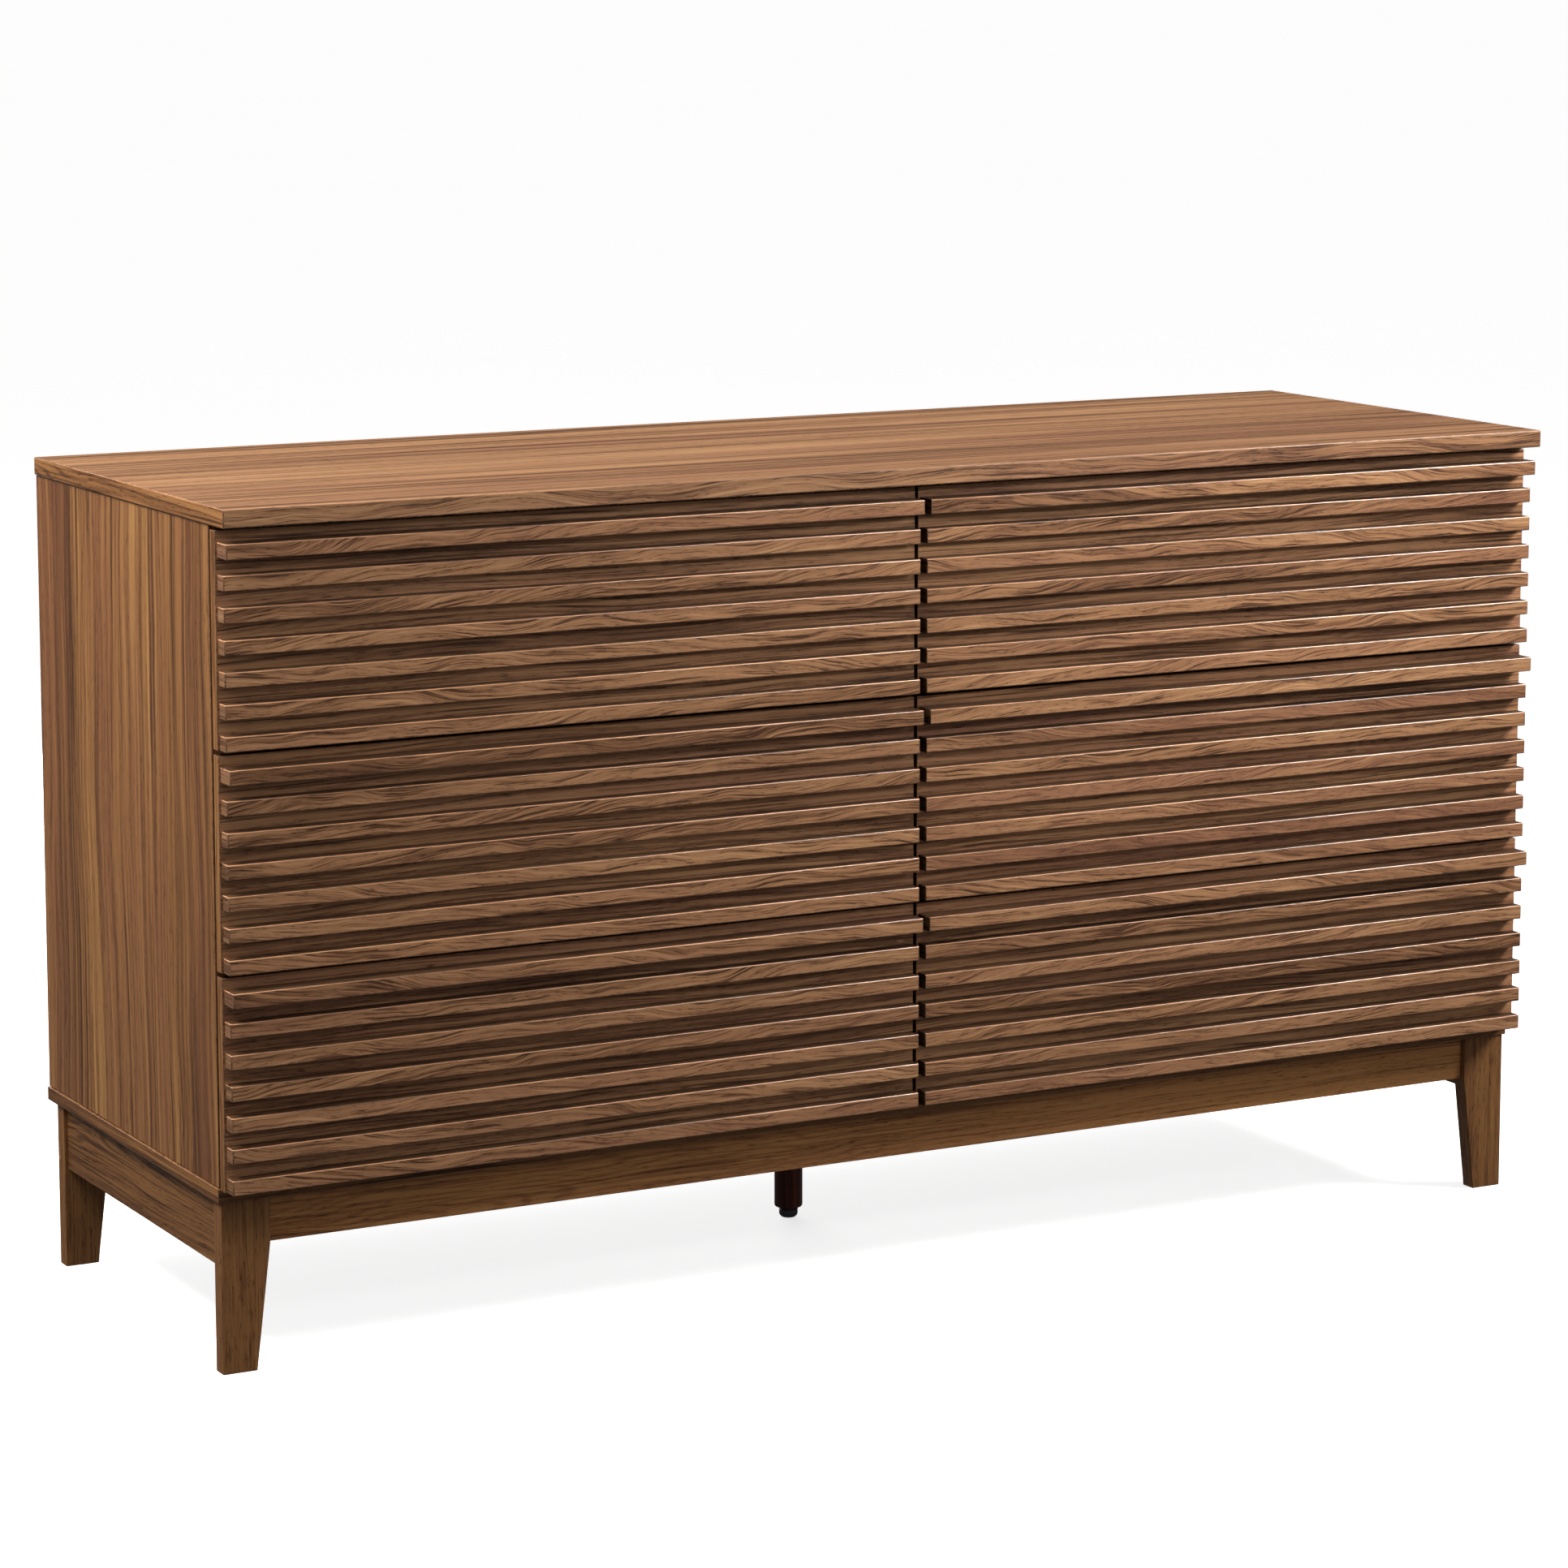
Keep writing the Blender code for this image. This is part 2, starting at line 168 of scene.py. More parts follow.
def walnut(name, along, seed, tones=WALNUT, red=WALNUT_RED, broad=22.0, lines=170.0, run=2.2,
           wander=0.030, rings=0.5, contrast=1.0, brightness=1.0, roughness=0.40, per_slat=False,
           stretch=1.0, gloss=0.16, pitch=0.012, flare=0.12, slant=0.0,
           thin=2.2, strokes=0.42, across=None, waves=1.6):
    """Walnut foil whose grain runs along one axis of the piece, with its lines side by side
    along a second one. Where that one isn't named it is the upright axis, or Y on upright grain."""
    net = Net(name)
    split = net.node("SeparateXYZ", net.place())
    across = across or ("Y" if along == "Z" else "Z")
    third = next(a for a in "XYZ" if a not in (along, across))
    u, v, w = (split.outputs["XYZ".index(a)] for a in (along, across, third))
    slope = slant
    tone_shift = 0.0
    # each slat is cut from another place of the foil, and is a little lighter or darker
    if per_slat:
        one, two, three = slat_numbers(net, split)[:3]
        u = net.math("ADD", u, net.math("MULTIPLY", one, 9.0))
        v = net.math("ADD", v, net.math("MULTIPLY", two, 5.0))
        tone_shift = net.math("MULTIPLY", net.math("SUBTRACT", three, 0.5), 0.16)
        slope = net.math("MULTIPLY", net.math("SUBTRACT", two, 0.5), slant)
    u = net.math("ADD", net.math("MULTIPLY", u, 1.0 / stretch), seed * 1.37)
    v = net.math("ADD", v, seed * 0.83)
    w = net.math("ADD", w, seed * 2.11)

    def at(scale_along, scale_across, sideways=v):
        return net.node("CombineXYZ", net.math("MULTIPLY", u, scale_along),
                        net.math("MULTIPLY", sideways, scale_across),
                        net.math("MULTIPLY", w, scale_across * 0.6)).outputs[0]

    # the grain wanders and leans
    drift = net.math("SUBTRACT", net.noise(at(waves, 6.0), 2.5), 0.5)
    bent = net.math("ADD", v, net.math("MULTIPLY", drift, wander))
    if slant:
        bent = net.math("ADD", bent, net.math("MULTIPLY", u, slope))
    # broad bands, fine lines, dark strokes and pores
    wide = net.noise(at(0.45, broad, bent), 3.0, 0.55)
    fine = net.noise(at(run, lines, bent), 3.0, 0.6)
    streak = net.spread(net.noise(at(run * 1.6, lines * thin, bent), 2.0), 0.56, 0.63)
    hair = net.noise(at(max(60.0, run * 9.0), max(900.0, lines * 3.0), bent), 2.0, 0.6)
    # growth rings: lines that open into flame shapes where the board's heart shows
    swell = net.noise(at(3.0, 14.0), 2.0, 0.5)
    flame = net.math("DIVIDE", net.math("ADD", bent, net.math("MULTIPLY", swell, flare)), pitch)
    ring = net.math("PINGPONG", flame, 0.5)
    ring = net.spread(ring, 0.30, 0.02, smooth=True)
    where = net.spread(net.noise(at(1.1, 10.0), 2.0), 0.44, 0.62)
    ring = net.math("MULTIPLY", ring, net.math("MULTIPLY", where, rings))
    # all of them add up to a place on the foil's scale of tones
    level = net.math("ADD", net.math("MULTIPLY", net.math("SUBTRACT", wide, 0.5), 1.7 * contrast),
                     net.math("MULTIPLY", net.math("SUBTRACT", fine, 0.5), 2.2 * contrast))
    level = net.math("ADD", net.math("ADD", level, 0.55), tone_shift)
    level = net.math("SUBTRACT", level, net.math("MULTIPLY", streak, strokes))
    level = net.math("SUBTRACT", level, net.math("MULTIPLY", ring, 0.45), clamp=True)
    colour = net.ramp(level, [(0.0, tones[0]), (0.30, tones[1]), (0.62, tones[2]), (1.0, tones[3])])
    rosy = net.spread(net.noise(at(0.7, broad * 0.8), 2.0), 0.48, 0.66)
    colour = net.mix(net.math("MULTIPLY", rosy, 0.42), colour, red)
    pore = net.spread(hair, 0.56, 0.66)
    pore = net.math("MULTIPLY", pore, net.spread(fine, 0.66, 0.42))
    dark = tuple(0.45 * c for c in tones[0])
    colour = net.mix(net.math("MULTIPLY", pore, 0.75), colour, dark)
    if brightness != 1.0:
        colour = net.mix(1.0, colour, (brightness,) * 3, "MULTIPLY")
    height = net.math("SUBTRACT", net.math("MULTIPLY", fine, 0.5), pore)
    net.bump(height, 0.25, 0.0004)
    rough = net.math("ADD", net.math("MULTIPLY", fine, 0.16), roughness - 0.08)
    return net.finish(colour, net.math("ADD", rough, net.math("MULTIPLY", pore, 0.15)),
                      Specular_IOR_Level=gloss)


def plain_board(name, base, seed, speck=0.25, roughness=0.6, along="X", fibre=260.0):
    """Pressed board, paper foil or felt: an even colour broken up by short fibres."""
    net = Net(name)
    split = net.node("SeparateXYZ", net.place())
    axes = [split.outputs["XYZ".index(a)] for a in (along, *[a for a in "XYZ" if a != along])]
    long_way = net.math("ADD", net.math("MULTIPLY", axes[0], fibre * 0.2), seed)
    vector = net.node("CombineXYZ", long_way, net.math("MULTIPLY", axes[1], fibre),
                      net.math("MULTIPLY", axes[2], fibre)).outputs[0]
    fine = net.noise(vector, 4.0, 0.7)
    cloud = net.noise(net.vector("MULTIPLY", net.place(), (7.0, 7.0, 7.0)), 3.0)
    dark, light = tuple(c * (1 - speck) for c in base), tuple(c * (1 + speck) for c in base)
    colour = net.mix(net.spread(fine, 0.3, 0.7), dark, light)
    colour = net.mix(net.spread(cloud, 0.3, 0.7, 0.0, 0.25), colour, dark)
    net.bump(fine, 0.2, 0.0003)
    return net.finish(colour, net.spread(fine, 0.3, 0.7, roughness - 0.07, roughness + 0.07))


def metal(name, base, roughness, metallic=1.0, along="Y", scratch=0.25):
    """Rolled steel with fine drawing marks along one axis and faint stains."""
    net = Net(name)
    stretch = tuple(40.0 if axis == along else 1600.0 for axis in "XYZ")
    marks = net.noise(net.vector("MULTIPLY", net.place(), stretch), 3.0, 0.6)
    cloud = net.noise(net.vector("MULTIPLY", net.place(), (28.0, 28.0, 28.0)), 4.0, 0.6)
    colour = net.mix(net.spread(marks, 0.3, 0.7), tuple(c * (1 - scratch) for c in base), base)
    colour = net.mix(net.spread(cloud, 0.45, 0.75, 0.0, 0.35), colour,
                     tuple(c * 0.72 for c in base))
    net.bump(marks, 0.12, 0.0002)
    return net.finish(colour, net.spread(cloud, 0.3, 0.7, roughness - 0.08, roughness + 0.12),
                      Metallic=metallic)


def plastic(name, base, roughness):
    """Moulded plastic with a fine spark-eroded texture."""
    net = Net(name)
    grain = net.noise(net.vector("MULTIPLY", net.place(), (1800.0,) * 3), 2.0)
    cloud = net.noise(net.vector("MULTIPLY", net.place(), (60.0,) * 3), 2.0)
    colour = net.mix(net.spread(cloud, 0.3, 0.7), tuple(c * 0.8 for c in base), base)
    net.bump(grain, 0.2, 0.0002)
    return net.finish(colour, net.spread(grain, 0.3, 0.7, roughness - 0.08, roughness + 0.08))


# ---------------------------------------------------------------- finishes
M = {
    "top": walnut("walnut_top", "X", 3.0, DUSKY, DUSKY_RED, broad=22.0, lines=110.0, run=1.0,
                  wander=0.02, rings=0.25, contrast=0.9, brightness=0.84, roughness=0.66,
                  gloss=0.06, thin=1.0, strokes=0.20, across="Y"),
    "top_front": walnut("walnut_top_front_band", "X", 8.0, DUSKY, DUSKY_RED, broad=26.0,
                        lines=300.0, run=8.0, rings=0.5, wander=0.06, brightness=1.22,
                        contrast=0.7, pitch=0.0045, flare=0.10, strokes=0.48, thin=1.9,
                        waves=4.0),
    "top_end": walnut("walnut_top_end_band", "Y", 5.0, broad=20.0, rings=0.9, wander=0.06,
                      contrast=0.6, brightness=1.15, pitch=0.008),
    "side": walnut("walnut_side", "Z", 11.0, broad=20.0, lines=130.0, run=1.3, rings=0.35,
                   wander=0.05, contrast=0.95, brightness=1.04, thin=1.6, strokes=0.40, waves=2.2),
    "upright_band": walnut("walnut_upright_band", "Z", 14.0, brightness=1.0),
    "floor_end": walnut("walnut_bottom_end_band", "Y", 17.0, brightness=0.95),
    "floor_board": walnut("walnut_bottom", "X", 19.0, brightness=0.85, across="Y"),
    "panel": walnut("walnut_panel", "X", 23.0, DUSKY, DUSKY_RED, broad=24.0, lines=240.0,
                    run=4.0, rings=0.3, wander=0.05, brightness=1.78, contrast=0.65,
                    pitch=0.006),
    "panel_end": walnut("walnut_panel_end_band", "Z", 27.0, brightness=1.1),
    "slat": walnut("walnut_slat", "X", 31.0, DUSKY, DUSKY_RED, broad=30.0, lines=300.0,
                   run=8.0, rings=0.25, wander=0.06, per_slat=True, contrast=0.6,
                   brightness=1.41, stretch=0.8, pitch=0.0036, flare=0.07, slant=0.20,
                   strokes=0.48, thin=1.9, waves=4.0, gloss=0.10, roughness=0.46),
    # a darker copy of the slat foil: painted shade on the slats' upper faces under the slat above
    "slat_top_painted_shade": walnut("walnut_slat_top", "X", 33.0, DUSKY, DUSKY_RED, broad=30.0, lines=300.0,
                       run=7.0, rings=0.0, per_slat=True, contrast=0.6, brightness=0.34),
    "slat_end": walnut("walnut_slat_end", "Y", 35.0, DUSKY, DUSKY_RED, lines=300.0,
                       brightness=0.95, contrast=0.6),
    "leg": walnut("walnut_leg", "Z", 41.0, broad=16.0, lines=460.0, run=9.0, wander=0.008,
                  rings=0.0, contrast=0.5, brightness=0.92, roughness=0.44, strokes=0.30),
    "apron": walnut("walnut_apron", "X", 45.0, broad=18.0, lines=260.0, run=4.0, rings=0.3,
                    brightness=1.70, contrast=0.38, roughness=0.44, pitch=0.007,
                    strokes=0.25),
    "side_apron": walnut("walnut_side_apron", "Y", 49.0, broad=14.0, lines=300.0, run=4.0,
                         rings=0.7, wander=0.05, brightness=0.88, contrast=0.42,
                         roughness=0.44, pitch=0.0045, flare=0.08),
    # lighter and glossier than the faces: a painted highlight on the boards' upward roundings
    "edge": walnut("walnut_edge_painted_highlight", "X", 53.0, DUSKY, DUSKY_RED, brightness=1.35, contrast=0.4,
                   rings=0.0, roughness=0.34, gloss=0.35),
    # much lighter and glossier: a painted highlight on the slats' upward roundings
    "slat_painted_highlight": walnut("walnut_slat_edge", "X", 57.0, DUSKY, DUSKY_RED, brightness=2.4,
                        contrast=0.4, rings=0.0, roughness=0.27, gloss=1.0),
    # darker than the faces: painted shade on downward roundings and on the front panels' rounded
    # edges in the gaps
    "low_edge_painted_shade": walnut("walnut_low_edge", "Y", 54.0, DUSKY, DUSKY_RED, brightness=0.80,
                       contrast=0.4, rings=0.0, roughness=0.32, gloss=0.4),
    # very dark: painted shade in the gaps between the columns and the rows of drawers
    "gap_painted_shade": walnut("walnut_inner_end", "Y", 55.0, DUSKY, DUSKY_RED, brightness=0.25,
                        contrast=0.6, rings=0.0, roughness=0.6, gloss=0.1),
    "box": plain_board("drawer_board_foil", (0.20, 0.105, 0.05), 1.0, 0.28, 0.55, "Y", 320.0),
    "box_edge": plain_board("drawer_board_edge", (0.25, 0.15, 0.08), 2.0, 0.2, 0.7, "Y", 400.0),
    "hardboard": plain_board("hardboard_print", (0.19, 0.10, 0.05), 3.0, 0.22, 0.68, "Z", 240.0),
    "stain": walnut("stained_center_leg", "Z", 61.0,
                    tones=((0.02, 0.004, 0.002), (0.045, 0.010, 0.005), (0.075, 0.016, 0.008),
                           (0.11, 0.024, 0.012)), red=(0.08, 0.014, 0.008), roughness=0.32,
                    rings=0.3, lines=300.0, wander=0.01),
    "zinc": metal("zinc_steel", (0.62, 0.62, 0.60), 0.34),
    "screw": metal("screw_steel", (0.50, 0.49, 0.46), 0.30, along="X"),
    "black_steel": metal("black_steel", (0.03, 0.03, 0.032), 0.42, 0.7, "X"),
    "black": plastic("black_plastic", (0.018, 0.018, 0.019), 0.48),
    "clear": plastic("rubber_bumper", (0.42, 0.41, 0.38), 0.35),
    "cover": plastic("cover_plastic", (0.16, 0.09, 0.05), 0.45),
    "cap": walnut("walnut_cap", "Z", 71.0, brightness=1.5, contrast=0.5, rings=0.0),
}


# ---------------------------------------------------------------- mesh helpers
def finished(name, tools, materials, body, nodes=()):
    """Turn a bmesh in the part's frame into a piece that rides on a body."""
    mesh = bpy.data.meshes.new(name)
    tools.to_mesh(mesh)
    tools.free()
    for key in materials:
        mesh.materials.append(M[key])
    obj = bpy.data.objects.new(name, mesh)
    bpy.context.scene.collection.objects.link(obj)
    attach(obj, body)
    if nodes:
        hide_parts(*nodes)
    return obj


def add_box(tools, low, high):
    made = bmesh.ops.create_cube(tools, size=1.0)
    for vertex in made["verts"]:
        for axis in range(3):
            middle = (low[axis] + high[axis]) / 2
            vertex.co[axis] = middle + vertex.co[axis] * (high[axis] - low[axis])


def soften(tools, radius, upper=2, lower=3):
    """Round every edge. Roundings that look up and down get materials of their own, which can carry
    a painted highlight above and painted shade below.
    """
    made = bmesh.ops.bevel(tools, geom=list(tools.edges), offset=radius, segments=3,
                           profile=0.5, affect="EDGES", clamp_overlap=True)
    bmesh.ops.recalc_face_normals(tools, faces=tools.faces)
    for face in made["faces"]:
        face.smooth = True
        face.material_index = upper if face.normal.z > 0.25 else lower


def band_faces(tools, axes):
    """Give the faces that look along the named axes the second material."""
    for face in tools.faces:
        normal = face.normal
        if any(abs(normal["XYZ".index(axis)]) > 0.9 for axis in axes):
            face.material_index = 1


def slab(name, low, high, radius, materials, axes, body, nodes=()):
    """A board with rounded edges, and a band on the faces that look along the named axes."""
    tools = bmesh.new()
    add_box(tools, low, high)
    bmesh.ops.recalc_face_normals(tools, faces=tools.faces)
    band_faces(tools, axes)
    soften(tools, radius)
    # faces in the narrow gap at the middle get painted shade
    paint_gap_shade(tools, len(materials))
    return finished(name, tools, materials + ("gap_painted_shade",), body, nodes)


def paint_gap_shade(tools, index):
    """Faces near the middle that look across the narrow gap between the columns of drawers get a
    very dark material: painted shade for the gap.
    """
    reach = 0.006
    for face in tools.faces:
        if abs(face.normal.x) > 0.5 and abs(face.calc_center_median().x) < reach:
            face.material_index = index


def use_material(piece, index, normals):
    """Give one of the piece's materials to the faces that look along any of some directions."""
    for polygon in piece.data.polygons:
        if any(polygon.normal.dot(Vector(normal)) > 0.95 for normal in normals):
            polygon.material_index = index


def prism(name, outline, axis, span, radius, materials, axes, body, nodes=()):
    """An outline swept along one axis, with rounded edges."""
    tools = bmesh.new()
    others = [i for i in range(3) if i != axis]
    rings = []
    for level in span:
        ring = []
        for point in outline:
            corner = [0.0, 0.0, 0.0]
            corner[axis] = level
            corner[others[0]], corner[others[1]] = point
            ring.append(tools.verts.new(corner))
        tools.faces.new(ring)
        rings.append(ring)
    near, far = rings
    for step in range(len(outline)):
        after = (step + 1) % len(outline)
        tools.faces.new((near[step], near[after], far[after], far[step]))
    bmesh.ops.recalc_face_normals(tools, faces=tools.faces)
    band_faces(tools, axes)
    soften(tools, radius)
    return finished(name, tools, materials, body, nodes)


def lathe(tools, profile, matrix, segments=32, index=0):
    """Turn (radius, height) points round Z, then put the solid in place."""
    rings = []
    for radius, height in profile:
        ring = []
        for step in range(segments):
            angle = 2 * pi * step / segments
            point = Vector((radius * cos(angle), radius * sin(angle), height))
            ring.append(tools.verts.new(matrix @ point))
        rings.append(ring)
    faces = []
    for lower, upper in zip(rings, rings[1:]):
        for step in range(segments):
            after = (step + 1) % segments
            face = tools.faces.new((lower[step], lower[after], upper[after], upper[step]))
            face.smooth = True
            faces.append(face)
    faces.append(tools.faces.new(list(reversed(rings[0]))))
    faces.append(tools.faces.new(rings[-1]))
    for face in faces:
        face.material_index = index


def facing(point, direction):
    """A matrix that puts Z along a direction, at a point."""
    turn = Vector((0, 0, 1)).rotation_difference(Vector(direction)).to_matrix().to_4x4()
    return Matrix.Translation(point) @ turn


def add_screw(tools, point, direction, radius=0.0032, height=0.0014, index=0):
    """A pan-head screw with a cross recess, standing on a surface."""
    matrix = facing(point, direction)
    lathe(tools, [(radius * 0.99, 0.0), (radius, height * 0.25), (radius * 0.93, height * 0.62),
                  (radius * 0.72, height * 0.9), (radius * 0.42, height)], matrix, 20, index)
    arm, half, deep = radius * 0.46, radius * 0.11, height + 0.00012
    corners = [(half, half), (arm, half), (arm, -half), (half, -half), (half, -arm),
               (-half, -arm), (-half, -half), (-arm, -half), (-arm, half), (-half, half),
               (-half, arm), (half, arm)]
    top = [tools.verts.new(matrix @ Vector((x, y, deep))) for x, y in corners]
    low = [tools.verts.new(matrix @ Vector((x, y, height - 0.0002))) for x, y in corners]
    for step in range(12):
        after = (step + 1) % 12
        tools.faces.new((low[step], low[after], top[after], top[step])).material_index = index + 1
    tools.faces.new(top).material_index = index + 1
    tools.faces.new(list(reversed(low))).material_index = index + 1


def screws(name, places, direction, body, radius=0.0032, height=0.0014):
    tools = bmesh.new()
    for point in places:
        add_screw(tools, point, direction, radius, height)
    bmesh.ops.recalc_face_normals(tools, faces=tools.faces)
    return finished(name, tools, ("screw", "black_steel"), body)


def discs(name, places, direction, radius, height, material, body):
    """Flat round caps with a rounded rim."""
    tools = bmesh.new()
    for point in places:
        rim = min(height * 0.6, radius * 0.2)
        lathe(tools, [(radius, 0.0), (radius, height - rim),
                      (radius - rim * 0.3, height - rim * 0.3), (radius - rim, height)],
              facing(point, direction), 24)
    bmesh.ops.recalc_face_normals(tools, faces=tools.faces)
    return finished(name, tools, (material,), body)


# ---------------------------------------------------------------- cabinet
# each board's rounding, its finishes (face, band, upper edges with a painted highlight and lower
# edges with painted shade), banded axes and slot
BOARDS = {
    "top_panel": (0.0014, ("top", "top_front", "edge", "low_edge_painted_shade"), "Y", "walnut_top"),
    "bottom_panel": (0.0008, ("floor_board", "floor_end", "edge", "low_edge_painted_shade"), "X", "walnut_case"),
    "center_divider": (0.0006, ("side", "upright_band", "edge", "low_edge_painted_shade"), "Y", "walnut_case"),
    "front_apron": (0.0006, ("apron",) * 4, "", "walnut_base"),
    "back_apron": (0.0006, ("apron",) * 4, "", "walnut_base"),
    "left_apron": (0.0006, ("side_apron",) * 4, "", "walnut_base"),
    "right_apron": (0.0006, ("side_apron",) * 4, "", "walnut_base"),
}


def build_cabinet():
    for node, (radius, materials, axes, slot) in BOARDS.items():
        low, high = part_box(node)
        piece = slab(node + "_board", low, high, radius, materials, axes, "cabinet", (node,))
        if node == "top_panel":
            piece.data.materials.append(M["top_end"])
            use_material(piece, 5, (LEFT, RIGHT))
    for column, side in COLUMNS:
        build_side(column, side)
        for end, facing_y in (("front", -1), ("back", 1)):
            build_leg(end, column, side, facing_y)
    build_backs()
    build_center_leg()


def build_side(column, side):
    """A side of the case, with the groove that holds the back panel."""
    node = column + "_side_panel"
    low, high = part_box(node)
    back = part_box(column + "_back_panel")
    outer = high.x if side > 0 else low.x
    inner = low.x if side > 0 else high.x
    groove = inner + side * BACK_GROOVE
    y0, y1 = back[0].y - 0.0003, back[1].y + 0.0003
    outline = [(outer, low.y), (outer, high.y), (inner, high.y), (inner, y1), (groove, y1),
               (groove, y0), (inner, y0), (inner, low.y)]
    prism(node + "_board", outline, 2, (low.z, high.z), 0.0006,
          ("side", "upright_band", "edge", "low_edge_painted_shade"), "Y", "cabinet", (node,))


def build_leg(end, column, side, facing_y):
    """A flat leg that tapers below the apron on its inner edge, and the cap on its outer one."""
    node = "{}_{}_leg".format(end, column)
    low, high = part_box(node)
    outer = high.x if side > 0 else low.x
    inner = low.x if side > 0 else high.x
    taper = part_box("front_apron")[0].z
    outline = [(outer, low.z), (outer, high.z), (inner, high.z), (inner, taper),
               (outer - side * LEG_TOE, low.z)]
    prism(node + "_board", outline, 1, (low.y, high.y), 0.0007, ("leg",) * 4, "",
          "cabinet", (node,))
    edge = low.y if facing_y < 0 else high.y
    discs(node + "_cap", [(outer, edge - facing_y * CAP_INSET, CAP_HEIGHT)], (side, 0, 0),
          0.0026, 0.0004, "cap", "cabinet")


def build_backs():
    """The visible part of the two back panels and the screws beside the seam between them."""
    bottom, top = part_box("bottom_panel")[1].z + 0.0002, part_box("top_panel")[0].z - 0.0002
    for node in ("left_back_panel", "right_back_panel"):
        low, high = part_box(node)
        slab(node + "_board", (low.x, low.y, bottom), (high.x, high.y, top), 0.0005,
             ("hardboard", "box_edge", "box_edge", "box_edge"), "X", "cabinet",
             (node,))
    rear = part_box("left_back_panel")[1].y
    heights = [bottom + 0.03 + step * (top - bottom - 0.06) / 4 for step in range(5)]
    screws("back_panel_screws", [(side * 0.0045, rear, z) for z in heights for side in (-1, 1)],
           (0, 1, 0), "cabinet", 0.0030, 0.0012)


def build_center_leg():
    """The turned leg, its plastic glide, and the screwed plate above it."""
    axis_low, axis_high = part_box("center_leg")
    middle = (axis_low + axis_high) / 2
    spot = Matrix.Translation((middle.x, middle.y, 0.0))
    radius = (axis_high.x - axis_low.x) / 2
    tools = bmesh.new()
    low, high = axis_low.z, axis_high.z
    lathe(tools, [(radius - 0.0022, low), (radius - 0.0010, low + 0.0004),
                  (radius - 0.0002, low + 0.0014), (radius, low + 0.0026),
                  (radius, low + (high - low) / 2), (radius, high)], spot, 64)
    finished("center_leg_turned", tools, ("stain",), "cabinet", ("center_leg",))
    low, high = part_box("center_leg_glide")
    tools = bmesh.new()
    radius = (high.x - low.x) / 2
    lathe(tools, [(radius - 0.0030, low.z), (radius - 0.0018, low.z + 0.0008),
                  (radius - 0.0006, low.z + 0.0022), (radius, low.z + 0.0038),
                  (radius, high.z)], spot, 48)
    finished("center_leg_foot", tools, ("black",), "cabinet",
             ("center_leg_glide",))
    low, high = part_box("center_leg_plate")
    tools = bmesh.new()
    radius = (high.x - low.x) / 2
    lathe(tools, [(radius - 0.0010, low.z), (radius - 0.0002, low.z + 0.0003),
                  (radius, low.z + 0.0010), (radius, high.z)], spot, 64)
    finished("center_leg_flange", tools, ("black_steel",), "cabinet",
             ("center_leg_plate",))
    places = [(middle.x + 0.024 * cos(a), middle.y + 0.024 * sin(a), low.z)
              for a in (pi / 4, 3 * pi / 4, 5 * pi / 4, 7 * pi / 4)]
    screws("center_leg_flange_screws", places, (0, 0, -1), "cabinet", 0.0035, 0.0016)


# ---------------------------------------------------------------- drawers
def build_front(drawer):
    """The flat panel of a front and its slats, the top one of which is the pull."""
    node = drawer + "_front"
    low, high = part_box(node)
    face = high.y - PANEL_THICK
    panel = slab(drawer + "_panel", (low.x, face, low.z), high, 0.0008,
                 ("panel", "panel_end", "low_edge_painted_shade", "low_edge_painted_shade"), "XZ", drawer,
                 (node,))
    # the panel's upper and lower faces, in the gap between rows of drawers, get painted shade
    use_material(panel, 4, (UP, DOWN))
    for number in range(SLATS_PER_FRONT):
        depth = PULL_SLAT_DEPTH if number == SLATS_PER_FRONT - 1 else SLAT_DEPTH
        bottom = low.z + number * SLAT_PITCH
        piece = slab("{}_slat_{}".format(drawer, number + 1),
                     (low.x + SLAT_INSET, face - depth, bottom),
                     (high.x - SLAT_INSET, face + GLUED_IN, bottom + SLAT_HEIGHT), 0.0011,
                     ("slat", "slat_end", "slat_painted_highlight", "low_edge_painted_shade"), "X", drawer)
        # the slats' upper faces get the darker copy, painted shade
        piece.data.materials.append(M["slat_top_painted_shade"])
        use_material(piece, 5, (UP,))


def build_box(drawer):
    """Sides and back of a drawer, with the folds' seams at the back corners, and its bottom."""
    low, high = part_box(drawer + "_box")
    seam = high.y - BOX_WALL - 0.0002
    tools = bmesh.new()
    add_box(tools, (low.x, low.y, low.z), (low.x + BOX_WALL, seam, high.z))
    add_box(tools, (high.x - BOX_WALL, low.y, low.z), (high.x, seam, high.z))
    add_box(tools, (low.x, high.y - BOX_WALL, low.z), high)
    bmesh.ops.recalc_face_normals(tools, faces=tools.faces)
    band_faces(tools, "Z")
    soften(tools, 0.0006, 1, 1)
    finished(drawer + "_box_boards", tools, ("box", "box_edge"), drawer,
             (drawer + "_box",))
    low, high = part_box(drawer + "_bottom")
    hidden = 0.0049
    slab(drawer + "_bottom_board", (low.x + hidden, low.y, low.z),
         (high.x - hidden, high.y - hidden, high.z), 0.0004,
         ("hardboard", "box_edge", "box_edge", "box_edge"), "XY", drawer,
         (drawer + "_bottom",))


